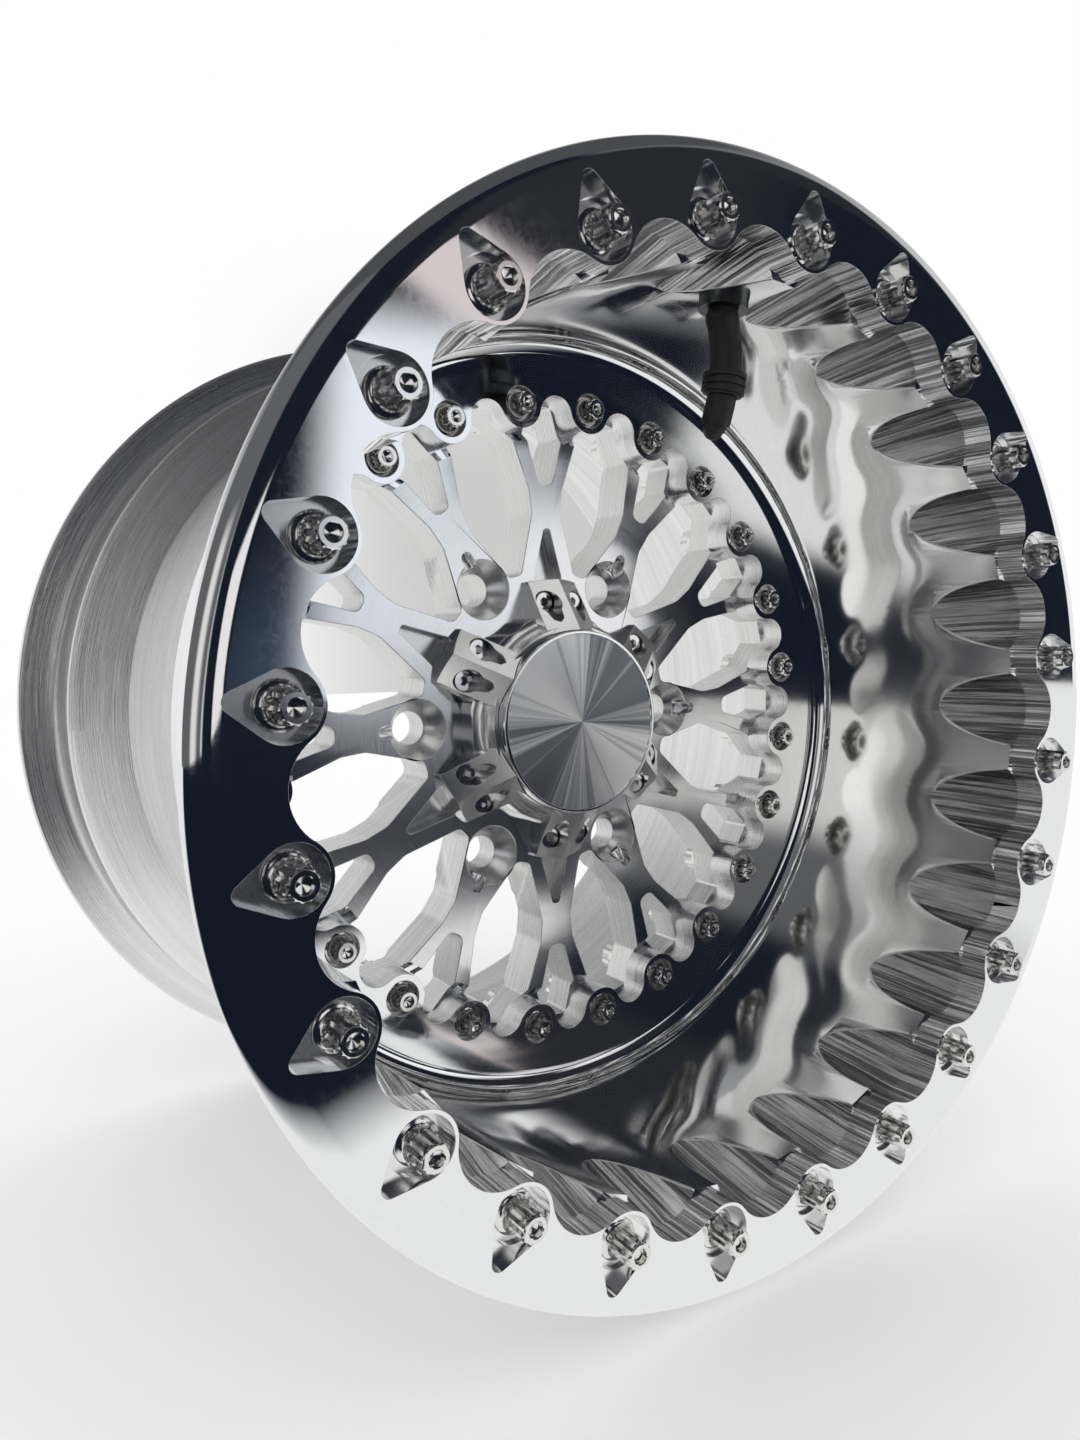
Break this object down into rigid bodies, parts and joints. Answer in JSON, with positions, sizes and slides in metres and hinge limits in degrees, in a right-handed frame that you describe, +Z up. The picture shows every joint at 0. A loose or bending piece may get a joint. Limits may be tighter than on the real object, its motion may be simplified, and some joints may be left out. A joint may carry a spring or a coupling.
{
  "type": "beadlock wheel",
  "caption": "Off-road beadlock wheel: scalloped locking ring on a fluted polished barrel, raw rear barrel, machined centre with forked spokes, hub cap and valve.",
  "frame": {"origin": "centre of the hub mounting face, on the axle", "axes": "+Y along the axle towards the vehicle, so the front of the wheel faces -Y; +Z up, with the valve near the top"},
  "size_m": [0.4144, 0.319, 0.4142],
  "materials": {
    "polished_aluminium": "mirror polished",
    "raw_aluminium": "turned, fine circumferential lines",
    "turned_aluminium": "fine facing lines",
    "plated_steel": "bright plated",
    "dark_steel": "plain",
    "black_steel": "black oxide",
    "black_rubber": "matte",
    "black_plastic": "satin",
    "valve_brass": "plain"
  },
  "bodies": {
    "root": {"beadlock_ring": "polished_aluminium", "front_barrel": "polished_aluminium", "rear_barrel": "raw_aluminium", "wheel_centre": "polished_aluminium", "beadlock_bolts": "plated_steel", "beadlock_inserts": "dark_steel", "assembly_bolts": "plated_steel", "assembly_nuts": "plated_steel", "assembly_washers": "plated_steel", "barrel_seal": "black_rubber", "cap_carrier": "polished_aluminium", "cap_disc": "turned_aluminium", "cap_seal": "black_rubber", "cap_screws": "plated_steel", "valve_stem": "black_rubber", "valve_seal": "black_rubber", "valve_nut": "black_steel", "valve_collar": "black_rubber", "valve_core": "valve_brass", "valve_cap": "black_plastic"}
  },
  "joints": []
}
